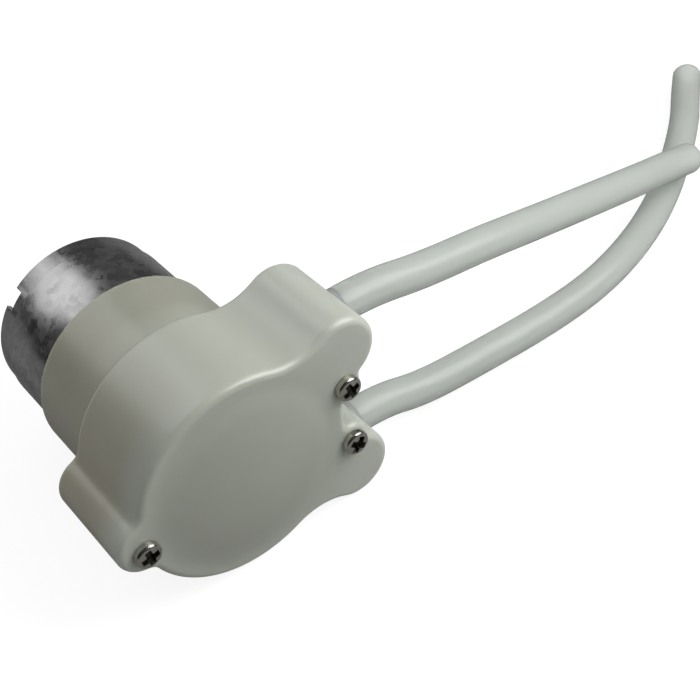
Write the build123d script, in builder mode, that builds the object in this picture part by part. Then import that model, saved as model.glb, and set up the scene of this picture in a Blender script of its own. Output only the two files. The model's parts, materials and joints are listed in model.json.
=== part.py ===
from build123d import *
from math import cos, radians, sin, tan
import os

os.makedirs("parts", exist_ok=True)

# A small peristaltic pump with its motor. All sizes are in millimetres. The front faces -Y, the
# tubes leave towards +X, and +Z is up. The origin is under the middle of the pump, tubes left
# out, on the surface that it lies on.

# Tube: a stock silicone tube
tube_r = 2.4
tube_bore_r = 1.6
tube_wall = tube_r - tube_bore_r
loop_r = 9.8             # middle of the tube's loop, and the height of the two straight ends

# Head: a round housing, two lobes where the tube leaves, and an ear for the third screw
head_r = 14.6
head_depth = 12.6
lobe_r = 4.8
lobe_x = 15.4
ear_r = 3.95
ear_x = -13.85
ear_z = -0.9              # the ear sits a little low, and its screw lower still
lobe_blend = 8.0         # hollow between the round housing and a lobe
ear_blend = 2.0
edge_round = 0.9
raceway_r = loop_r + tube_r

# Cover
cover_thickness = 2.05
dome_r = 12.2            # the middle of the cover is very slightly domed
dome_rise = 1.3
dome_blend = 9.0         # hollow where the dome meets the rest of the cover
dome_sphere_r = (dome_r**2 + dome_rise**2) / (2 * dome_rise)
pocket_r = 10.4
pocket_depth = 1.6

# Screws of the cover
screw_r = 0.9
screw_hole_r = 1.05
screw_length = 8.0
screw_head_r = 1.7
screw_head_height = 1.15
screw_pad_r = 2.4        # pad round the two screws beside the lobes
screw_places = [(15.2, 4.7), (15.2, -4.7), (-14.4, -1.5)]

# Motor, in the cup at the back of the head
motor_r = 12.2
can_r = 11.95
can_wall = 0.7
can_inner_r = can_r - can_wall
motor_boss_r = 3.0
cup_r = 13.05
cup_length = 11.9
motor_out = 13.15        # how far the motor stands out of the cup
bare_end = 3.0           # end of the can that the flux ring leaves bare
tag_out = 3.0            # how far the terminals stand out of the motor
partition = 1.2          # wall between the motor and the rollers
shaft_r = 1.0
running_gap = 0.05

# Roller carrier
roller_r = 4.0
roller_gap = 0.05
pin_r = 0.8
orbit_r = raceway_r - 2 * tube_wall - roller_r
sleeve_r = orbit_r - roller_r - running_gap
carrier_r = 9.4
plate_thickness = 1.2
roller_angles = [60, 180, 300]

# Lengthwise stations, from the front to the back
front_y = -(dome_rise + cover_thickness + head_depth + cup_length + motor_out + tag_out) / 2
flange_y = front_y + dome_rise
seam_y = flange_y + cover_thickness
head_back_y = seam_y + head_depth
cup_rim_y = head_back_y + cup_length
motor_back_y = cup_rim_y + motor_out
chamber_back_y = seam_y + 10.2
motor_front_y = chamber_back_y + partition
tube_y = seam_y + 5.3
roller_front_y = tube_y - 3.4
roller_back_y = tube_y + 3.4
core_front_y = motor_front_y + 4.0
core_back_y = motor_front_y + 15.0
commutator_y = core_back_y + 2.6
cap_front_y = motor_back_y - 3.6
cap_back_y = motor_back_y - 0.5

# The pump's axis runs along Y
lobe_tip = lobe_x + lobe_r
axis_x = -(lobe_tip + ear_x - ear_r) / 2
axis_z = head_r
pump_axis = Axis((axis_x, 0, axis_z), (0, 1, 0))


def facing(y):
    """A plane across the pump at y, seen from the front: local x is +X, local y is +Z."""
    return Plane(origin=(axis_x, y, axis_z), x_dir=(1, 0, 0), z_dir=(0, -1, 0))


def round_bar(back, front, radius, places=((0, 0),), mode=Mode.ADD):
    """Round bars along the pump, from back to front, one at each place."""
    with BuildSketch(facing(back)) as section:
        with Locations(*places):
            Circle(radius)
    extrude(section.sketch, amount=back - front, mode=mode)


def around(radius, angles):
    return [(radius * cos(radians(a)), radius * sin(radians(a))) for a in angles]


def head_outline():
    """The outline that the housing and its cover share."""
    Circle(head_r)
    with Locations((ear_x, ear_z)):
        Circle(ear_r)
    with Locations((lobe_x, loop_r), (lobe_x, -loop_r)):
        Circle(lobe_r)
    with Locations(*screw_places[:2]):
        Circle(screw_pad_r)
    fillet(vertices().filter_by(lambda v: v.X < -8), ear_blend)
    fillet(vertices().filter_by(lambda v: 8 < v.X < 12 and abs(v.Y) > loop_r), lobe_blend)
    fillet(vertices().filter_by(lambda v: v.X > 12 and abs(v.Y) < 3), 0.9)
    fillet(vertices().filter_by(lambda v: 16 < v.X < 18.5 and 3 < abs(v.Y) < loop_r), 1.0)


def finish(piece, label):
    piece.part.label = label
    export_step(piece.part, f"parts/{label}.step")
    print(label, len(piece.part.solids()), "solids,", round(piece.part.volume, 1), "mm3")


roller_places = around(orbit_r, roller_angles)

# ---- Housing ----

with BuildPart() as pump_base:
    with BuildSketch(facing(head_back_y)):
        head_outline()
    extrude(amount=head_depth)
    fillet(faces().sort_by(Axis.Y)[-1].outer_wire().edges(), edge_round)
    round_bar(cup_rim_y, head_back_y - edge_round, cup_r)
    fillet(edges().group_by(Axis.Y)[-1], 0.35)
    round_bar(chamber_back_y, seam_y, raceway_r, mode=Mode.SUBTRACT)
    round_bar(cup_rim_y, motor_front_y, can_r, mode=Mode.SUBTRACT)
    round_bar(motor_front_y, chamber_back_y, motor_boss_r, mode=Mode.SUBTRACT)
    round_bar(flange_y + screw_length, seam_y, screw_r, screw_places, Mode.SUBTRACT)
    with BuildSketch(Plane(origin=(axis_x, tube_y, axis_z), x_dir=(0, 1, 0), z_dir=(1, 0, 0))):
        with Locations((0, loop_r), (0, -loop_r)):
            Circle(tube_r)
    extrude(amount=lobe_tip + 1, mode=Mode.SUBTRACT)
    for place in around(8.5, [90, 270]):
        with Locations(facing(chamber_back_y)):
            with Locations(place):
                CounterSinkHole(radius=1.0, counter_sink_radius=1.9, depth=partition)
finish(pump_base, "pump_base")

with BuildPart() as pump_cover:
    with BuildSketch(facing(seam_y)):
        head_outline()
    extrude(amount=cover_thickness)
    fillet(faces().sort_by(Axis.Y)[0].outer_wire().edges(), edge_round)
    with BuildPart(mode=Mode.PRIVATE) as dome:
        round_bar(seam_y, front_y, dome_r)
        with Locations((axis_x, front_y + dome_sphere_r, axis_z)):
            Sphere(dome_sphere_r, mode=Mode.INTERSECT)
    add(dome.part)
    crease = edges().filter_by(GeomType.CIRCLE).filter_by(lambda e: abs(e.radius - dome_r) < 0.01)
    fillet(crease, dome_blend)
    round_bar(seam_y, seam_y - pocket_depth, pocket_r, mode=Mode.SUBTRACT)
    round_bar(seam_y - pocket_depth, seam_y - pocket_depth - 1.0, 2.4, mode=Mode.SUBTRACT)
    round_bar(seam_y, flange_y, screw_hole_r, screw_places, Mode.SUBTRACT)
finish(pump_cover, "pump_cover")

with BuildPart() as cover_bush:
    round_bar(seam_y + 0.2, seam_y - pocket_depth - 1.0, 2.4)
    round_bar(seam_y + 0.2, seam_y - pocket_depth - 1.0, 1.2 + running_gap, mode=Mode.SUBTRACT)
finish(cover_bush, "cover_bush")

with BuildPart() as cover_screws:
    round_bar(flange_y, flange_y - screw_head_height, screw_head_r, screw_places)
    fillet(edges().group_by(Axis.Y)[0], 0.6)
    round_bar(flange_y + screw_length, flange_y, screw_r, screw_places)
    with BuildSketch(facing(flange_y - screw_head_height)):
        with Locations(*screw_places):
            Rectangle(1.8, 0.5)
            Rectangle(0.5, 1.8)
    extrude(amount=-0.7, mode=Mode.SUBTRACT)
finish(cover_screws, "cover_screws")

# ---- Tube: a loop inside the head and two free ends ----

loop_plane = Plane(origin=(axis_x, tube_y, axis_z), x_dir=(1, 0, 0), z_dir=(0, -1, 0))


def sweep_loop(bore_r):
    """Sweep the tube round the loop, from the upper lobe's tip to the lower one's."""
    with BuildLine(loop_plane) as path:
        Line((lobe_tip, loop_r), (0, loop_r))
        ThreePointArc((0, loop_r), (-loop_r, 0), (0, -loop_r))
        Line((0, -loop_r), (lobe_tip, -loop_r))
    start = Plane(origin=(axis_x + lobe_tip, tube_y, axis_z + loop_r), z_dir=(-1, 0, 0))
    with BuildSketch(start) as section:
        Circle(tube_r)
        if bore_r:
            Circle(bore_r, mode=Mode.SUBTRACT)
    sweep(section.sketch, path=path.wires()[0])


with BuildPart() as pressed_wall:
    sweep_loop(0)
    with BuildSketch(facing(tube_y + tube_r)):
        with Locations(*roller_places):
            Circle(roller_r + roller_gap + tube_wall)
            Circle(roller_r + roller_gap, mode=Mode.SUBTRACT)
    extrude(amount=2 * tube_r, mode=Mode.INTERSECT)

with BuildPart() as tube_loop:
    sweep_loop(tube_bore_r)
    dent_r = roller_r + roller_gap + tube_wall
    round_bar(tube_y + tube_r, tube_y - tube_r, dent_r, roller_places, Mode.SUBTRACT)
    add(pressed_wall.part)
finish(tube_loop, "tube_loop")

# The free ends lie on the surface that the pump lies on; the upper one crosses the lower one.
exit_x = axis_x + lobe_tip
upper_route = [
    (exit_x, tube_y, axis_z + loop_r),
    (23.5, tube_y, axis_z + loop_r),
    (32.5, -13.1, 21.9),
    (43.0, -12.7, 20.1),
    (54.0, -11.9, 17.3),
    (65.0, -10.9, 14.5),
    (75.0, -9.7, 11.7),
    (82.5, -8.7, 9.6),
    (86.2, -8.1, 8.5),
    (90.7, -7.1, 6.8),
]
lower_route = [
    (exit_x, tube_y, axis_z - loop_r),
    (23.5, tube_y, axis_z - loop_r),
    (30.5, -13.6, 2.42),
    (41.0, -14.5, 2.42),
    (52.0, -15.2, 2.42),
    (63.0, -14.8, 2.42),
    (74.0, -12.2, 2.42),
    (84.5, -7.8, 2.42),
    (94.5, -1.9, 2.42),
    (103.5, 4.3, 2.42),
    (109.5, 9.5, 2.42),
    (114.2, 13.3, 2.42),
]


def corner_radii(label, route):
    """The largest arcs that the runs of a route allow, one for each corner."""
    points = [Vector(*p) for p in route]
    radii = []
    for before, corner, after in zip(points, points[1:], points[2:]):
        turn = radians((corner - before).get_angle(after - corner))
        shorter = min((corner - before).length, (after - corner).length)
        radii.append(0.45 * shorter / tan(turn / 2))
    print(label, "radii in diameters:", [round(r / tube_r / 2, 1) for r in radii])
    return radii


def free_tube(label, route):
    with BuildPart() as piece:
        with BuildLine() as path:
            FilletPolyline(*route, radius=corner_radii(label, route))
        start = Vector(*route[0])
        with BuildSketch(Plane(origin=start, z_dir=Vector(*route[1]) - start)):
            Circle(tube_r)
            Circle(tube_bore_r, mode=Mode.SUBTRACT)
        sweep()
    section = piece.part.volume / path.wires()[0].length
    print(label, "length", round(path.wires()[0].length, 2), "mm, section", round(section, 3))
    finish(piece, label)


free_tube("tube_upper", upper_route)
free_tube("tube_lower", lower_route)

# ---- Motor: can, magnets, end cap and brushes ----

with BuildPart() as motor_can:
    round_bar(motor_back_y, motor_front_y, can_r)
    fillet(edges().group_by(Axis.Y)[0], 0.8)
    round_bar(motor_back_y, motor_front_y + can_wall, can_inner_r, mode=Mode.SUBTRACT)
    round_bar(motor_front_y + can_wall, chamber_back_y, motor_boss_r)
    round_bar(motor_front_y + can_wall, chamber_back_y, 2.5, mode=Mode.SUBTRACT)
    screw_holes = around(8.5, [90, 270])
    round_bar(motor_front_y + can_wall, motor_front_y, 1.0, screw_holes, Mode.SUBTRACT)
    with BuildSketch(facing(motor_back_y)):
        with PolarLocations(can_r, 3, start_angle=134):
            Rectangle(4 * can_wall, 2.6)
    extrude(amount=1.3, mode=Mode.SUBTRACT)
finish(motor_can, "motor_can")

with BuildPart() as flux_ring:
    round_bar(motor_back_y - bare_end, cup_rim_y, motor_r)
    round_bar(motor_back_y - bare_end, cup_rim_y, can_r, mode=Mode.SUBTRACT)
finish(flux_ring, "flux_ring")

with BuildPart() as motor_end_cap:
    round_bar(cap_back_y, cap_front_y, can_inner_r)
    fillet(edges().group_by(Axis.Y)[-1], 0.4)
    round_bar(motor_back_y + 1.0, cap_back_y, 3.4)
    fillet(edges().group_by(Axis.Y)[-1], 0.5)
    round_bar(motor_back_y, cap_front_y, 2.2, mode=Mode.SUBTRACT)
    with BuildSketch(facing(cap_back_y)):
        with Locations((7, 0), (-7, 0)):
            Rectangle(0.5, 2.6)
    extrude(amount=cap_back_y - cap_front_y, mode=Mode.SUBTRACT)
finish(motor_end_cap, "motor_end_cap")

with BuildPart() as motor_terminals:
    with BuildSketch(facing(motor_back_y + tag_out)):
        with Locations((7, 0), (-7, 0)):
            Rectangle(0.5, 2.6)
    extrude(amount=tag_out + motor_back_y - cap_front_y)
    fillet(edges().group_by(Axis.Y)[-1].filter_by(Axis.X), 0.9)
    with BuildSketch(Plane(origin=(axis_x, motor_back_y + 1.6, axis_z), z_dir=(1, 0, 0))):
        Circle(0.5)
    extrude(amount=10, both=True, mode=Mode.SUBTRACT)
finish(motor_terminals, "motor_terminals")

with BuildPart() as brush_arms:
    with BuildSketch(facing(cap_front_y)):
        with Locations((2.95, 0), (-2.95, 0)):
            Rectangle(0.3, 2.2)
        with Locations((5.1, 0), (-5.1, 0)):
            Rectangle(4.3, 0.8)
    extrude(amount=0.4)
    with BuildSketch(facing(cap_front_y)):
        with Locations((2.95, 0), (-2.95, 0)):
            Rectangle(0.3, 2.2)
    extrude(amount=5.0)
finish(brush_arms, "brush_arms")

with BuildPart() as magnets:
    round_bar(core_back_y + 1, core_front_y - 1, can_inner_r)
    round_bar(core_back_y + 1, core_front_y - 1, 8.9, mode=Mode.SUBTRACT)
    with BuildSketch(facing(core_back_y + 1)):
        Rectangle(8, 2 * motor_r)
    extrude(amount=core_back_y - core_front_y + 2, mode=Mode.SUBTRACT)
finish(magnets, "magnets")

with BuildPart() as magnet_clip:
    round_bar(core_back_y, core_front_y, can_inner_r)
    round_bar(core_back_y, core_front_y, can_inner_r - 0.8, mode=Mode.SUBTRACT)
    with BuildSketch(facing(core_back_y)):
        with Locations((0, motor_r)):
            Rectangle(7.8, motor_r)
    extrude(amount=core_back_y - core_front_y, mode=Mode.INTERSECT)
finish(magnet_clip, "magnet_clip")

with BuildPart() as front_bearing:
    round_bar(motor_front_y + 1.6, chamber_back_y, 2.5)
    round_bar(motor_front_y + 1.6, chamber_back_y, shaft_r + running_gap, mode=Mode.SUBTRACT)
finish(front_bearing, "front_bearing")

with BuildPart() as rear_bearing:
    round_bar(motor_back_y, cap_front_y, 2.2)
    round_bar(motor_back_y, cap_front_y, shaft_r + running_gap, mode=Mode.SUBTRACT)
finish(rear_bearing, "rear_bearing")

with BuildPart() as motor_screws:
    for place in screw_holes:
        with BuildSketch(facing(chamber_back_y)) as head:
            with Locations(place):
                Circle(1.9)
        with BuildSketch(facing(chamber_back_y + 0.9)):
            with Locations(place):
                Circle(1.0)
        loft()
    round_bar(motor_front_y + 2.4, chamber_back_y + 0.9, 1.0, screw_holes)
    with BuildSketch(facing(chamber_back_y)):
        with Locations(*screw_holes):
            Rectangle(1.9, 0.4)
            Rectangle(0.4, 1.9)
    extrude(amount=-0.6, mode=Mode.SUBTRACT)
finish(motor_screws, "motor_screws")

# ---- Rotor ----

with BuildPart() as motor_shaft:
    round_bar(motor_back_y - 0.2, roller_front_y, shaft_r)
    chamfer(edges().group_by(Axis.Y)[0], 0.2)
finish(motor_shaft, "motor_shaft")

with BuildPart() as drive_sleeve:
    round_bar(roller_back_y, roller_front_y, sleeve_r)
    round_bar(roller_back_y, roller_front_y, shaft_r, mode=Mode.SUBTRACT)
finish(drive_sleeve, "drive_sleeve")

slot_angles = [60, 180, 300]
slot_r = 2.6
with BuildPart() as armature_core:
    round_bar(core_back_y, core_front_y, 8.4)
    round_bar(core_back_y, core_front_y, shaft_r, mode=Mode.SUBTRACT)
    with BuildSketch(facing(core_back_y)):
        with Locations(*around(4.9, slot_angles)):
            Circle(slot_r)
        with PolarLocations(6.6, 3, start_angle=60):
            Rectangle(4.4, 1.2)
    extrude(amount=core_back_y - core_front_y, mode=Mode.SUBTRACT)
finish(armature_core, "armature_core")

with BuildPart() as windings:
    round_bar(core_back_y + 1.6, core_front_y - 1.6, slot_r - 0.05, around(4.9, slot_angles))
    fillet(edges().group_by(Axis.Y)[0] + edges().group_by(Axis.Y)[-1], 0.8)
finish(windings, "windings")

with BuildPart() as commutator:
    round_bar(commutator_y + 4.2, commutator_y, 2.6)
    round_bar(commutator_y + 4.2, commutator_y, shaft_r, mode=Mode.SUBTRACT)
    with BuildSketch(facing(commutator_y + 4.2)):
        with PolarLocations(2.3, 3):
            Rectangle(0.8, 0.3)
    extrude(amount=4.2, mode=Mode.SUBTRACT)
finish(commutator, "commutator")

# ---- Roller carrier ----

plate_gap = 0.15
front_plate_y = roller_front_y - plate_gap
rear_plate_y = roller_back_y + plate_gap

with BuildPart() as carrier_rear:
    round_bar(rear_plate_y + plate_thickness, rear_plate_y, carrier_r)
    round_bar(rear_plate_y + plate_thickness, rear_plate_y, 3.4, mode=Mode.SUBTRACT)
    round_bar(rear_plate_y + plate_thickness, rear_plate_y, pin_r, roller_places, Mode.SUBTRACT)
finish(carrier_rear, "carrier_rear")

with BuildPart() as carrier_front:
    round_bar(front_plate_y, front_plate_y - plate_thickness, carrier_r)
    round_bar(front_plate_y, seam_y - pocket_depth - 0.8, 1.2)
    round_bar(front_plate_y, front_plate_y - plate_thickness, pin_r, roller_places, Mode.SUBTRACT)
finish(carrier_front, "carrier_front")

with BuildPart() as roller_pins:
    pin_back = rear_plate_y + plate_thickness
    round_bar(pin_back, front_plate_y - plate_thickness, pin_r, roller_places)
finish(roller_pins, "roller_pins")

for number, place in enumerate(roller_places, start=1):
    with BuildPart() as roller:
        round_bar(roller_back_y, roller_front_y, roller_r, [place])
        fillet(edges().group_by(Axis.Y)[0] + edges().group_by(Axis.Y)[-1], 0.4)
        round_bar(roller_back_y, roller_front_y, pin_r + roller_gap, [place], Mode.SUBTRACT)
    finish(roller, f"roller_{number}")
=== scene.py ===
import json
import math
import bmesh
import bpy
from mathutils import Matrix, Vector


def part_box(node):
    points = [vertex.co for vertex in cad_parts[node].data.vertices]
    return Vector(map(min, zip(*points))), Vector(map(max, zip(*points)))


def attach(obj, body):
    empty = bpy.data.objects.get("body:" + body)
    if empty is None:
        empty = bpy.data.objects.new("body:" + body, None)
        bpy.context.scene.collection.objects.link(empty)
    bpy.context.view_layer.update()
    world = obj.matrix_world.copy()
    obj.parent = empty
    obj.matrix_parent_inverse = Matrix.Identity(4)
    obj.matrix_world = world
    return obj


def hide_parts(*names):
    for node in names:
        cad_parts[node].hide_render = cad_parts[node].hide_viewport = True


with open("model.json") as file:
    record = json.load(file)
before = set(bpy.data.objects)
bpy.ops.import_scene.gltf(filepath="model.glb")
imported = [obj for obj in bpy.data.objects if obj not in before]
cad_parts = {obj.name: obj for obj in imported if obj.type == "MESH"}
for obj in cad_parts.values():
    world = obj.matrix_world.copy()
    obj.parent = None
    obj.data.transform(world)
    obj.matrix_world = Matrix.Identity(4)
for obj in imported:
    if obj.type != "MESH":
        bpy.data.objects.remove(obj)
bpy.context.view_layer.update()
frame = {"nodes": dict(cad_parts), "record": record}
print("frame loaded:", len(frame["nodes"]), "nodes")

mm = 0.001
nodes = frame["nodes"]
collection = bpy.context.scene.collection

# the pump's axis, the front of its cover and the seam behind the cover
coverLow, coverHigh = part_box("pump_cover")
canLow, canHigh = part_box("motor_can")
axisX = (canLow.x + canHigh.x) / 2
axisZ = (canLow.z + canHigh.z) / 2
frontY, seamY = coverLow.y, coverHigh.y


def newMaterial(name, colour, roughness, metallic=0.0):
    material = bpy.data.materials.new(name)
    material.use_nodes = True
    tree = material.node_tree
    shader = tree.nodes["Principled BSDF"]
    shader.inputs["Base Color"].default_value = (*colour, 1)
    shader.inputs["Roughness"].default_value = roughness
    shader.inputs["Metallic"].default_value = metallic
    return material, shader, tree


def calculate(tree, kind, operation, *values):
    # a node of the kind Math or VectorMath; each value is fixed or comes out of another node
    node = tree.nodes.new("ShaderNode" + kind)
    node.operation = operation
    for socket, value in zip(node.inputs, values):
        if isinstance(value, bpy.types.NodeSocket):
            tree.links.new(value, socket)
        else:
            socket.default_value = value
    return node


def objectPlace(tree, stretch=(1, 1, 1)):
    # the place on the object in metres, stretched along its own axes
    coordinate = tree.nodes.new("ShaderNodeTexCoord")
    mapping = tree.nodes.new("ShaderNodeMapping")
    mapping.inputs["Scale"].default_value = stretch
    tree.links.new(coordinate.outputs["Object"], mapping.inputs["Vector"])
    return mapping.outputs["Vector"]


def noise(tree, place, scale, detail=3, rough=0.5):
    node = tree.nodes.new("ShaderNodeTexNoise")
    node.inputs["Scale"].default_value = scale
    node.inputs["Detail"].default_value = detail
    node.inputs["Roughness"].default_value = rough
    tree.links.new(place, node.inputs["Vector"])
    return node.outputs["Fac"]


def between(tree, factor, low, high, lowAt=0.3, highAt=0.7):
    # a number that runs from low to high with the factor
    node = tree.nodes.new("ShaderNodeMapRange")
    for key, value in (("From Min", lowAt), ("From Max", highAt), ("To Min", low), ("To Max", high)):
        node.inputs[key].default_value = value
    tree.links.new(factor, node.inputs["Value"])
    return node.outputs["Result"]


def blendColours(tree, factor, low, high, lowAt=0.3, highAt=0.7, middle=None):
    # a colour that runs from low to high with the factor, past the middle one if there is one
    ramp = tree.nodes.new("ShaderNodeValToRGB")
    stops = ramp.color_ramp.elements
    for stop, position, colour in zip((stops[0], stops[1]), (lowAt, highAt), (low, high)):
        stop.position = position
        stop.color = (*colour, 1)
    if middle:
        stops.new((lowAt + highAt) / 2).color = (*middle, 1)
    tree.links.new(factor, ramp.inputs["Fac"])
    return ramp.outputs["Color"]


def tinted(tree, base, factor, colour):
    # the base colour, which turns into a fixed one with the factor
    node = tree.nodes.new("ShaderNodeMix")
    node.data_type = "RGBA"
    tree.links.new(factor, node.inputs["Factor"])
    tree.links.new(base, node.inputs[6])
    node.inputs[7].default_value = (*colour, 1)
    return node.outputs[2]


def bump(tree, shader, height, strength, distance, inward=False):
    node = tree.nodes.new("ShaderNodeBump")
    node.invert = inward
    node.inputs["Strength"].default_value = strength
    node.inputs["Distance"].default_value = distance
    tree.links.new(height, node.inputs["Height"])
    tree.links.new(node.outputs["Normal"], shader.inputs["Normal"])


def addPiece(name, data):
    piece = bpy.data.objects.new(name, data)
    collection.objects.link(piece)
    return piece


def builtMesh(bm, name, meshMaterials=()):
    # a mesh of what was built, with its faces pointing outward
    bmesh.ops.recalc_face_normals(bm, faces=bm.faces)
    mesh = bpy.data.meshes.new(name)
    bm.to_mesh(mesh)
    bm.free()
    for material in meshMaterials:
        mesh.materials.append(material)
    return mesh


# camera and light come first
cameraSettings = {
    "place": (-0.04567, -0.11491, 0.12844),
    "target": (0.01625, -0.01956, 0.02513),
    "roll": -7.474,          # degrees, the pump lies a little askew to the view
    "lens": 67.3,
    "shift": -0.0004,
    "sensor": 36,
    "nearest": 0.005,        # nothing closer than this is drawn, m
}


def makeCamera(s):
    data = bpy.data.cameras.new("camera")
    data.lens = s["lens"]
    data.sensor_width = s["sensor"]
    data.shift_x = s["shift"]
    data.clip_start = s["nearest"]
    camera = addPiece("camera", data)
    place, target = Vector(s["place"]), Vector(s["target"])
    look = (target - place).to_track_quat("-Z", "Y").to_matrix()
    turn = Matrix.Rotation(math.radians(s["roll"]), 3, "Z")
    camera.matrix_world = Matrix.Translation(place) @ (look @ turn).to_4x4()
    bpy.context.scene.camera = camera


lightSettings = {
    "lamps": {
        "key": {"from": (-0.22, 0.75, 0.62), "distance": 0.40, "size": (0.28, 0.34), "watts": 0.31},
        "front": {"from": (0.62, -0.50, 0.62), "distance": 0.17, "size": (0.12, 0.12), "watts": 0.175},
    },
    "sky": 0.40,             # strength of the sky, before the slope
    "skySlope": (0.28, 0.06, 0.09),      # how much brighter it gets towards +X, +Y and up
    "skyInGloss": 0.10,      # the room is darker in reflections, as a dark studio is
}


def makeLights(s):
    middle = Vector((axisX, 0, axisZ))
    for name, one in s["lamps"].items():
        data = bpy.data.lights.new(name, "AREA")
        data.shape = "RECTANGLE"
        data.size, data.size_y = one["size"]
        data.energy = one["watts"]
        lamp = addPiece(name, data)
        lamp.location = middle + Vector(one["from"]).normalized() * one["distance"]
        lamp.rotation_euler = (middle - lamp.location).to_track_quat("-Z", "Y").to_euler()
    world = bpy.data.worlds.new("studio")
    bpy.context.scene.world = world
    world.use_nodes = True
    tree = world.node_tree
    place = tree.nodes.new("ShaderNodeTexCoord").outputs["Generated"]
    rays = tree.nodes.new("ShaderNodeLightPath")
    slope = calculate(tree, "VectorMath", "DOT_PRODUCT", place, s["skySlope"])
    level = calculate(tree, "Math", "ADD", slope.outputs["Value"], s["sky"])
    dim = between(tree, rays.outputs["Is Glossy Ray"], 1, s["skyInGloss"], 0, 1)
    strength = calculate(tree, "Math", "MULTIPLY", level.outputs[0], dim)
    sky = tree.nodes["Background"]
    sky.inputs["Color"].default_value = (1, 1, 1, 1)
    tree.links.new(strength.outputs[0], sky.inputs["Strength"])
    bpy.context.scene.view_settings.view_transform = "Standard"


floorSettings = {
    "half": 3.0,             # half of its width, m
    "sink": 0.0002,          # how far below the pump it lies, m
    "grey": 0.25,
    "roughness": 0.9,
    "gloss": 0.1,
    "glow": 0.86,            # of the white that the camera sees
    "bounce": 0.16,          # of the light that it throws back at the pump
}


def makeFloor(s):
    half = s["half"]
    corners = [(-half, -half, 0), (half, -half, 0), (half, half, 0), (-half, half, 0)]
    mesh = bpy.data.meshes.new("floor")
    mesh.from_pydata(corners, [], [(0, 1, 2, 3)])
    floor = addPiece("floor", mesh)
    material, shader, tree = newMaterial("paleFloor", (s["grey"], s["grey"], s["grey"]), s["roughness"])
    shader.inputs["Specular IOR Level"].default_value = s["gloss"]
    shader.inputs["Emission Color"].default_value = (1, 1, 1, 1)
    rays = tree.nodes.new("ShaderNodeLightPath").outputs
    either = calculate(tree, "Math", "MAXIMUM", rays["Is Camera Ray"], rays["Is Transmission Ray"])
    seen = calculate(tree, "Math", "MULTIPLY", either.outputs[0], s["glow"])
    thrown = calculate(tree, "Math", "MULTIPLY_ADD", rays["Is Diffuse Ray"], s["bounce"], seen.outputs[0])
    tree.links.new(thrown.outputs[0], shader.inputs["Emission Strength"])
    mesh.materials.append(material)
    floor.location.z = -s["sink"]


makeCamera(cameraSettings)
makeLights(lightSettings)
makeFloor(floorSettings)
print("camera, lights and floor made")


# lengths in the looks are metres, places are the scene's own
housingLook = {
    "core": (0.435, 0.455, 0.395),       # over the rollers
    "wall": (0.49, 0.515, 0.45),
    "lobe": (0.535, 0.56, 0.50),         # solid plastic, away from the axis
    "radii": (0.0095, 0.0185),           # from the axis, where core ends and lobe starts
    "cup": (0.385, 0.39, 0.325),         # over the motor, which shows through darker
    "cupAlong": (-0.0075, -0.0005),      # where that starts and is full, along Y
    "paintedShade": (0.445, 0.43, 0.35),        # painted shade on the side away from the tubes, warm-tinted where the works show through
    "shadeAcross": (-0.0150, -0.0030),   # where it is full and where it ends, along X
    "shadeAlong": (-0.0188, -0.0150),    # where it starts and is full, along Y
    "clouds": 110,                       # clouds in the milk of the plastic, per metre
    "cloudiness": (0.965, 1.035),        # darkest and brightest, as shares of the colour
    "cloudsOver": (0.1, 0.9),            # stretch of the noise that they run over
    "roughness": 0.28,
    "gloss": 0.9,
    "bending": 1.49,                     # of light, the index of refraction
    "softness": 0.0016,                  # how far light wanders in the plastic
    "wander": (1.0, 1.0, 0.95),          # the same for red, green and blue, as shares
    "seam": 0.00006,                     # half the width of the line round the head
    "seamStrength": 0.25,
    "seamDepth": 0.00005,
}


def softenLight(shader, s):
    # light goes into the plastic and comes out again a little way off
    shader.inputs["Subsurface Weight"].default_value = 1.0
    shader.inputs["Subsurface Radius"].default_value = s["wander"]
    shader.inputs["Subsurface Scale"].default_value = s["softness"]
    shader.inputs["IOR"].default_value = s["bending"]


def makeHousingMaterial(s):
    material, shader, tree = newMaterial("milkyPlastic", s["wall"], s["roughness"])
    place = objectPlace(tree)
    split = tree.nodes.new("ShaderNodeSeparateXYZ")
    tree.links.new(place, split.inputs[0])
    across, along = split.outputs["X"], split.outputs["Y"]
    # from the axis outward the plastic gets more solid and paler
    flat = calculate(tree, "VectorMath", "MULTIPLY_ADD", place, (1, 0, 1), (-axisX, 0, -axisZ))
    away = calculate(tree, "VectorMath", "LENGTH", flat.outputs[0])
    outward = between(tree, away.outputs["Value"], 0, 1, *s["radii"])
    colour = blendColours(tree, outward, s["core"], s["lobe"], 0, 1, s["wall"])
    # the motor shows through the cup darker
    colour = tinted(tree, colour, between(tree, along, 0, 1, *s["cupAlong"]), s["cup"])
    # painted shade on the side away from the tubes and behind the face, warm-tinted like the works seen
    # through the plastic
    sideways = between(tree, across, 1, 0, *s["shadeAcross"])
    behind = between(tree, along, 0, 1, *s["shadeAlong"])
    paintedShadeMask = calculate(tree, "Math", "MULTIPLY", sideways, behind)
    colour = tinted(tree, colour, paintedShadeMask.outputs[0], s["paintedShade"])
    # a faint cloudiness in the milk of the plastic
    clouds = noise(tree, place, s["clouds"], 2)
    cloudy = calculate(tree, "VectorMath", "SCALE", colour)
    shares = between(tree, clouds, *s["cloudiness"], *s["cloudsOver"])
    tree.links.new(shares, cloudy.inputs["Scale"])
    tree.links.new(cloudy.outputs[0], shader.inputs["Base Color"])
    softenLight(shader, s)
    shader.inputs["Specular IOR Level"].default_value = s["gloss"]
    # the seam is a fine line round the head
    line = calculate(tree, "Math", "COMPARE", along, seamY, s["seam"])
    bump(tree, shader, line.outputs[0], s["seamStrength"], s["seamDepth"], inward=True)
    return material


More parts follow.
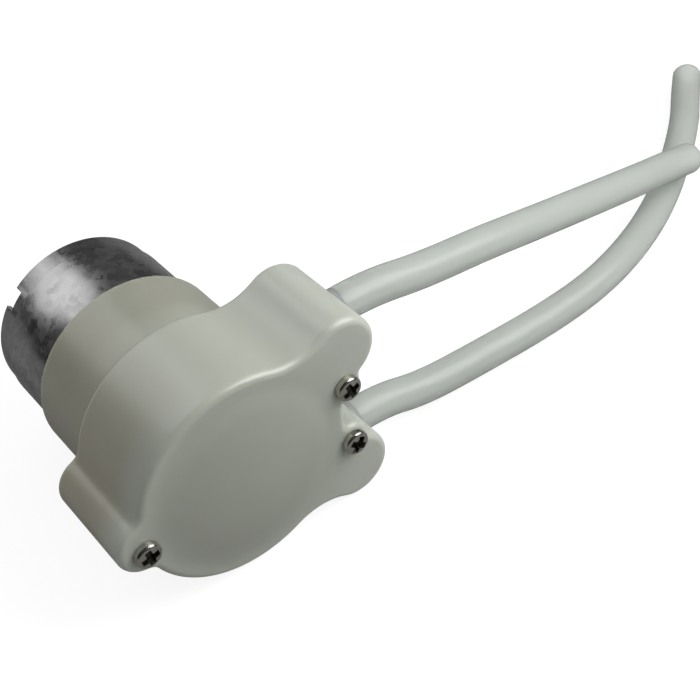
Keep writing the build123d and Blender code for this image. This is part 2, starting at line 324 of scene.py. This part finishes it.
tubingLook = {
    "colour": (0.74, 0.775, 0.735),
    "cloud": (0.77, 0.805, 0.765),
    "clouds": 60,            # per metre
    "cloudsOver": (0.1, 0.9),
    "roughness": 0.24,
    "bending": 1.41,
    "softness": 0.0012,
    "wander": (1.0, 1.0, 0.95),
    "clear": 0.5,            # share of the light that goes straight through the wall
}


def makeTubingMaterial(s):
    material, shader, tree = newMaterial("siliconeRubber", s["colour"], s["roughness"])
    clouds = noise(tree, objectPlace(tree), s["clouds"], 1)
    colour = blendColours(tree, clouds, s["colour"], s["cloud"], *s["cloudsOver"])
    tree.links.new(colour, shader.inputs["Base Color"])
    shader.inputs["Transmission Weight"].default_value = s["clear"]
    softenLight(shader, s)
    return material


canLook = {
    "dark": (0.34, 0.345, 0.34),
    "light": (0.62, 0.625, 0.62),
    "flake": 900,            # crystals of the zinc coat, per metre
    "ragged": 1400,          # notches in their outlines, per metre
    "shake": 0.0016,         # how far the outlines are shaken
    "clouds": 300,
    "contrast": 0.45,        # between one crystal and the next
    "cloudDetail": (4, 0.6),
    "colourOver": (0.30, 0.95),          # stretch of the pattern that the colours run over
    "roughness": (0.19, 0.34),
    "roughnessOver": (0.3, 1.0),
    "relief": (0.06, 0.00003),           # strength and height of the bump
}


def makeCanMaterial(name, s, contrast=1.0):
    material, shader, tree = newMaterial(name, s["light"], 0.3, 1.0)
    place = objectPlace(tree)
    # the crystals are ragged, so their places are shaken a little
    shake = tree.nodes.new("ShaderNodeTexNoise")
    shake.inputs["Scale"].default_value = s["ragged"]
    tree.links.new(place, shake.inputs["Vector"])
    shaken = calculate(tree, "VectorMath", "MULTIPLY_ADD", shake.outputs["Color"], (s["shake"],) * 3, place)
    flakes = tree.nodes.new("ShaderNodeTexVoronoi")
    flakes.inputs["Scale"].default_value = s["flake"]
    tree.links.new(shaken.outputs[0], flakes.inputs["Vector"])
    grey = tree.nodes.new("ShaderNodeSeparateColor")
    tree.links.new(flakes.outputs["Color"], grey.inputs["Color"])
    clouds = noise(tree, place, s["clouds"], *s["cloudDetail"])
    mixed = calculate(tree, "Math", "MULTIPLY_ADD", grey.outputs["Red"], s["contrast"] * contrast, clouds)
    factor = mixed.outputs[0]
    colour = blendColours(tree, factor, s["dark"], s["light"], *s["colourOver"])
    tree.links.new(colour, shader.inputs["Base Color"])
    tree.links.new(between(tree, factor, *s["roughness"], *s["roughnessOver"]), shader.inputs["Roughness"])
    bump(tree, shader, factor, *s["relief"])
    return material


# fine grain of the plain metals and plastics: the roughness goes up and down by its spread
grainLook = {
    "metal": {"dull": 0.8, "spread": 0.3, "height": 0.00003},
    "plastic": {"pale": 1.12, "lift": 0.004, "spread": 0.15, "height": 0.00004},
}


def addGrain(tree, shader, fine, colours, roughness, depth, s):
    # one grain in colour, roughness and height together
    tree.links.new(blendColours(tree, fine, *colours), shader.inputs["Base Color"])
    rough = between(tree, fine, roughness * (1 - s["spread"]), roughness * (1 + s["spread"]))
    tree.links.new(rough, shader.inputs["Roughness"])
    bump(tree, shader, fine, depth, s["height"])


def makeMetal(name, colour, roughness, scale=900, streak=(1, 1, 1), depth=0.08):
    s = grainLook["metal"]
    material, shader, tree = newMaterial(name, colour, roughness, 1.0)
    fine = noise(tree, objectPlace(tree, streak), scale)
    dull = tuple(s["dull"] * c for c in colour)
    addGrain(tree, shader, fine, (dull, colour), roughness, depth, s)
    return material


def makePlastic(name, colour, roughness, scale=1500, depth=0.08):
    s = grainLook["plastic"]
    material, shader, tree = newMaterial(name, colour, roughness)
    fine = noise(tree, objectPlace(tree), scale)
    pale = tuple(min(1, s["pale"] * c + s["lift"]) for c in colour)
    addGrain(tree, shader, fine, (colour, pale), roughness, depth, s)
    return material


materials = {
    "housing": makeHousingMaterial(housingLook),
    "tubing": makeTubingMaterial(tubingLook),
    "can": makeCanMaterial("zincCan", canLook, 0.7),
    "flux_band": makeCanMaterial("zincBand", canLook),
    "screws": makeMetal("nickel", (0.62, 0.60, 0.54), 0.20, 1200),
    "end_cap": makePlastic("blackNylon", (0.012, 0.012, 0.013), 0.45),
    "tags": makeMetal("tinnedBrass", (0.72, 0.68, 0.58), 0.30),
    "brush_metal": makeMetal("springBronze", (0.62, 0.36, 0.18), 0.30),
    "magnet": makePlastic("ferrite", (0.035, 0.034, 0.034), 0.6, 900, 0.2),
    "spring_steel": makeMetal("springSteel", (0.42, 0.42, 0.42), 0.30),
    "bronze": makeMetal("sinteredBronze", (0.48, 0.31, 0.14), 0.45, 2500, depth=0.3),
    "shaft_steel": makeMetal("groundSteel", (0.62, 0.62, 0.62), 0.18, 700, (6, 0.4, 6)),
    "sleeve": makePlastic("blackRubber", (0.02, 0.02, 0.02), 0.7),
    "laminations": makeMetal("stackedSteel", (0.35, 0.35, 0.36), 0.40, streak=(0.3, 8, 0.3), depth=0.5),
    "enamelled_wire": makeMetal("copperWire", (0.55, 0.18, 0.06), 0.25, 700, (0.5, 7, 0.5), 0.6),
    "copper": makeMetal("copper", (0.75, 0.38, 0.22), 0.25),
    "carrier": makePlastic("whiteAcetal", (0.62, 0.62, 0.60), 0.40),
    "rollers": makePlastic("ivoryAcetal", (0.66, 0.65, 0.60), 0.25),
}

for part in frame["record"]["subparts"]:
    piece = nodes[part["node"]]
    piece.data.materials.clear()
    piece.data.materials.append(materials[part["material_slot"]])


# housing and cover are one skin, so that light wanders across the seam as it does in the plastic
housingShape = {
    "seamGap": 0.002 * mm,    # faces this close to the seam are inside the plastic and go
}


def makeHousing(s):
    halves = []
    for name in ("pump_base", "pump_cover"):
        half = addPiece("housing", nodes[name].data.copy())
        bm = bmesh.new()
        bm.from_mesh(half.data)
        inner = [f for f in bm.faces if all(abs(v.co.y - seamY) < s["seamGap"] for v in f.verts)]
        bmesh.ops.delete(bm, geom=inner, context="FACES")
        bm.to_mesh(half.data)
        bm.free()
        halves.append(half)
    base = halves[0]
    with bpy.context.temp_override(active_object=base, object=base, selected_editable_objects=halves,
                                   selected_objects=halves):
        bpy.ops.object.join()
    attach(base, "pump")
    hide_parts("pump_base", "pump_cover")
    print("housing skin has", len(base.data.polygons), "faces")


makeHousing(housingShape)


# free tubes, along the same routes as the solids
hoseLook = {
    "outer": 2.4 * mm,       # radius, like the bore
    "bore": 1.6 * mm,
    "step": 1.2 * mm,        # distance between rings
    "sides": 36,
    "edge": 0.12 * mm,       # soft edge of the cut
    "sharpAbove": 50,        # edges turning by more than these degrees stay sharp
    "smoothness": 16,        # points of the line for each part of the route
    "upper": [
        (0.0190, -0.01335, 0.0244),
        (0.0235, -0.01335, 0.0244),
        (0.0325, -0.0131, 0.0219),
        (0.0430, -0.0127, 0.0201),
        (0.0540, -0.0119, 0.0173),
        (0.0650, -0.0109, 0.0145),
        (0.0750, -0.0097, 0.0117),
        (0.0825, -0.0087, 0.0096),
        (0.0862, -0.0081, 0.0085),
        (0.0907, -0.0071, 0.0068),
    ],
    "lower": [
        (0.0190, -0.01335, 0.0048),
        (0.0235, -0.01335, 0.0048),
        (0.0305, -0.0136, 0.00242),
        (0.0410, -0.0145, 0.00242),
        (0.0520, -0.0152, 0.00242),
        (0.0630, -0.0148, 0.00242),
        (0.0740, -0.0122, 0.00242),
        (0.0845, -0.0078, 0.00242),
        (0.0945, -0.0019, 0.00242),
        (0.1035, 0.0043, 0.00242),
        (0.1095, 0.0095, 0.00242),
        (0.1142, 0.0133, 0.00242),
    ],
}


def smoothLine(name, route, smoothness):
    # the points of a NURBS curve whose control points are the route
    data = bpy.data.curves.new(name, "CURVE")
    data.dimensions = "3D"
    data.resolution_u = smoothness
    spline = data.splines.new("NURBS")
    spline.points.add(len(route) - 1)
    for point, place in zip(spline.points, route):
        point.co = (*place, 1)
    spline.order_u = 3
    spline.use_endpoint_u = True
    curve = bpy.data.objects.new(name, data)
    mesh = bpy.data.meshes.new_from_object(curve)
    points = [v.co.copy() for v in mesh.vertices]
    bpy.data.objects.remove(curve)
    bpy.data.meshes.remove(mesh)
    return points


def evenly(points, step):
    # the same line with points about a step apart
    lengths = [0]
    for a, b in zip(points, points[1:]):
        lengths.append(lengths[-1] + (b - a).length)
    count = round(lengths[-1] / step)
    result, at = [], 0
    for k in range(count + 1):
        want = lengths[-1] * k / count
        while at < len(points) - 2 and lengths[at + 1] < want:
            at += 1
        span = max(lengths[at + 1] - lengths[at], 1e-9)      # never nothing
        result.append(points[at].lerp(points[at + 1], (want - lengths[at]) / span))
    return result, lengths[-1]


def ringsAlong(points):
    # a frame at every point, carried along without twist
    side = Vector((0, 0, 1))
    frames = []
    for k, point in enumerate(points):
        ahead = points[min(k + 1, len(points) - 1)] - points[max(k - 1, 0)]
        ahead.normalize()
        side = (side - ahead * side.dot(ahead)).normalized()
        frames.append((point, ahead, side, ahead.cross(side)))
    return frames


def makeHose(name, nodeName, route, s):
    points, length = evenly(smoothLine(name, route, s["smoothness"]), s["step"])
    frames = ringsAlong(points)
    last = len(frames) - 1
    sides, outer, bore, edge = s["sides"], s["outer"], s["bore"], s["edge"]
    bm = bmesh.new()

    def ring(k, radius, along=0.0):
        point, ahead, side, other = frames[k]
        made = []
        for n in range(sides):
            angle = 2 * math.pi * n / sides
            offset = side * math.cos(angle) + other * math.sin(angle)
            made.append(bm.verts.new(point + offset * radius + ahead * along))
        return made

    def skin(rings):
        for a, b in zip(rings, rings[1:]):
            for n in range(sides):
                following = (n + 1) % sides
                bm.faces.new((a[n], a[following], b[following], b[n]))

    # each wall ends in a soft edge at the cut
    outside = [ring(k, outer) for k in range(last)]
    outside += [ring(last, outer, -edge), ring(last, outer - 0.3 * edge, -0.3 * edge),
                ring(last, outer - edge)]
    inside = [ring(k, bore) for k in range(last)]
    inside += [ring(last, bore, -edge), ring(last, bore + 0.5 * edge)]
    skin(outside)
    skin(inside[::-1])
    skin([outside[-1], inside[-1]])
    skin([outside[0], inside[0]])
    mesh = builtMesh(bm, name, [materials["tubing"]])
    mesh.shade_smooth()
    mesh.set_sharp_from_angle(angle=math.radians(s["sharpAbove"]))
    piece = addPiece(name, mesh)
    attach(piece, "pump")
    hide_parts(nodeName)
    print(name, "is", round(length / mm, 1), "mm long")


makeHose("tubeUpper", "tube_upper", hoseLook["upper"], hoseLook)
makeHose("tubeLower", "tube_lower", hoseLook["lower"], hoseLook)


# screws of the cover, with a cross recess
screwLook = {
    "places": ((15.2, 4.7), (15.2, -4.7), (-14.4, -1.5)),    # mm from the axis
    "turns": (20, 52, 8),                    # of the cross, degrees
    "seat": frontY + 1.3 * mm,               # where the head bears on the cover
    "sides": 64,
    "headRadius": 1.7 * mm,
    "height": 1.15 * mm,
    "underEdge": 0.06 * mm,                  # chamfer under the head
    "rim": 0.42 * mm,                        # radius of the rounding round the top
    "rimTurn": 74,                           # how far it rounds over, degrees
    "rimSteps": 8,
    "crown": 0.14 * mm,                      # rise of the top inside the rim
    "crownRings": ((0.55, 0.045 * mm), (0.28, 0.012 * mm), (0, 0)),    # share of the radius, depth
    "shank": 0.9 * mm,
    "shankLength": 8.0 * mm,
    "tip": (0.8, 0.2 * mm),                  # share of the shank's radius, length
    "armLength": (1.26 * mm, 0.68 * mm),     # of the recess, at the top and at its floor
    "armWidth": (0.44 * mm, 0.28 * mm),
    "armCorner": 0.12 * mm,                  # clipped corner between two arms
    "recess": 0.78 * mm,
    "cutAbove": 0.2 * mm,                    # how far the cutter sticks out of the head
    "sharpAbove": 32,                        # degrees
}
# the second material is nickel darkened to paint the shade inside the cross recess
screwMaterials = (materials["screws"], makeMetal("recessPaintedShadeNickel", (0.11, 0.105, 0.09), 0.38, 1500))


def lathe(bm, profile, sides):
    # profile is (distance from the axis, place along it); the axis is local Z
    rings = []
    for radius, height in profile:
        many = sides if radius > 0 else 1
        angles = [2 * math.pi * n / many for n in range(many)]
        rings.append([bm.verts.new((radius * math.cos(a), radius * math.sin(a), height)) for a in angles])
    for a, b in zip(rings, rings[1:]):
        for n in range(sides):
            following = (n + 1) % sides
            corners = [a[n % len(a)], a[following % len(a)], b[following % len(b)], b[n % len(b)]]
            bm.faces.new(list(dict.fromkeys(corners)))


def screwProfile(s):
    radius, rim, under = s["headRadius"], s["rim"], s["underEdge"]
    tipShare, tipLength = s["tip"]
    rimLevel = s["height"] - rim - s["crown"]
    profile = [(0, -s["shankLength"]), (s["shank"] * tipShare, -s["shankLength"]),
               (s["shank"], tipLength - s["shankLength"]), (s["shank"], 0),
               (radius - under, 0), (radius, under), (radius, rimLevel)]
    for k in range(1, s["rimSteps"] + 1):
        angle = k / s["rimSteps"] * math.radians(s["rimTurn"])
        profile.append((radius - rim + rim * math.cos(angle), rimLevel + rim * math.sin(angle)))
    return profile + [(radius * share, s["height"] - depth) for share, depth in s["crownRings"]]


def crossOutline(length, width, corner):
    # the outline of a cross with clipped inner corners
    quarter = [(length, -width), (length, width), (width + corner, width), (width, width + corner)]
    points = []
    for k in range(4):
        c, w = math.cos(k * math.pi / 2), math.sin(k * math.pi / 2)
        points += [(x * c - y * w, x * w + y * c) for x, y in quarter]
    return points


def recessCutter(s):
    # a tapered cross that stands in the head and sticks out of it
    bm = bmesh.new()
    lengthSlope, widthSlope = ((b - a) / s["recess"] for a, b in (s["armLength"], s["armWidth"]))
    rows = []
    for depth in (-s["cutAbove"], s["recess"]):
        outline = crossOutline(s["armLength"][0] + lengthSlope * depth, s["armWidth"][0] + widthSlope * depth,
                               s["armCorner"])
        rows.append([bm.verts.new((x, y, s["height"] - depth)) for x, y in outline])
    upper, lower = rows
    many = len(upper)
    for n in range(many):
        following = (n + 1) % many
        bm.faces.new((upper[n], upper[following], lower[following], lower[n]))
    bm.faces.new(upper)
    bm.faces.new(lower)
    # the recess walls take the darkened nickel, painted shade
    for face in bm.faces:
        face.material_index = 1
    return addPiece("recess", builtMesh(bm, "recess", screwMaterials))


def makeScrew(index, place, turn, s):
    bm = bmesh.new()
    lathe(bm, screwProfile(s), s["sides"])
    screw = addPiece("coverScrew" + str(index), builtMesh(bm, "screw", screwMaterials))
    cutter = recessCutter(s)
    cut = screw.modifiers.new("recess", "BOOLEAN")
    cut.operation = "DIFFERENCE"
    cut.solver = "EXACT"
    cut.object = cutter
    bpy.context.view_layer.update()
    graph = bpy.context.evaluated_depsgraph_get()
    done = bpy.data.meshes.new_from_object(screw.evaluated_get(graph))
    screw.modifiers.clear()
    screw.data = done
    bpy.data.objects.remove(cutter)
    done.shade_smooth()
    done.set_sharp_from_angle(angle=math.radians(s["sharpAbove"]))

    # local Z points to the front
    x, z = place
    stand = Matrix.Rotation(math.radians(90), 4, "X") @ Matrix.Rotation(math.radians(turn), 4, "Z")
    screw.matrix_world = Matrix.Translation((axisX + x * mm, s["seat"], axisZ + z * mm)) @ stand
    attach(screw, "pump")
    return screw


screws = [makeScrew(k, place, turn, screwLook)
          for k, (place, turn) in enumerate(zip(screwLook["places"], screwLook["turns"]), start=1)]
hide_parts("cover_screws")
print(len(screws), "screws made")


# soft edges on pieces that keep the solids' own mesh
softEdges = {
    "widths": {              # mm
        "motor_can": 0.10,
        "flux_ring": 0.06,
        "motor_end_cap": 0.10,
        "motor_terminals": 0.08,
        "rear_bearing": 0.08,
    },
    "weldWithin": 0.002 * mm,
    "steps": 3,
    "onlyAbove": 40,         # degrees between two faces
}
for name, width in softEdges["widths"].items():
    weld = nodes[name].modifiers.new("weld", "WELD")
    weld.merge_threshold = softEdges["weldWithin"]
    bevel = nodes[name].modifiers.new("bevel", "BEVEL")
    bevel.width = width * mm
    bevel.segments = softEdges["steps"]
    bevel.limit_method = "ANGLE"
    bevel.angle_limit = math.radians(softEdges["onlyAbove"])
    bevel.use_clamp_overlap = True
    bevel.harden_normals = True
print("edges softened on", len(softEdges["widths"]), "pieces")
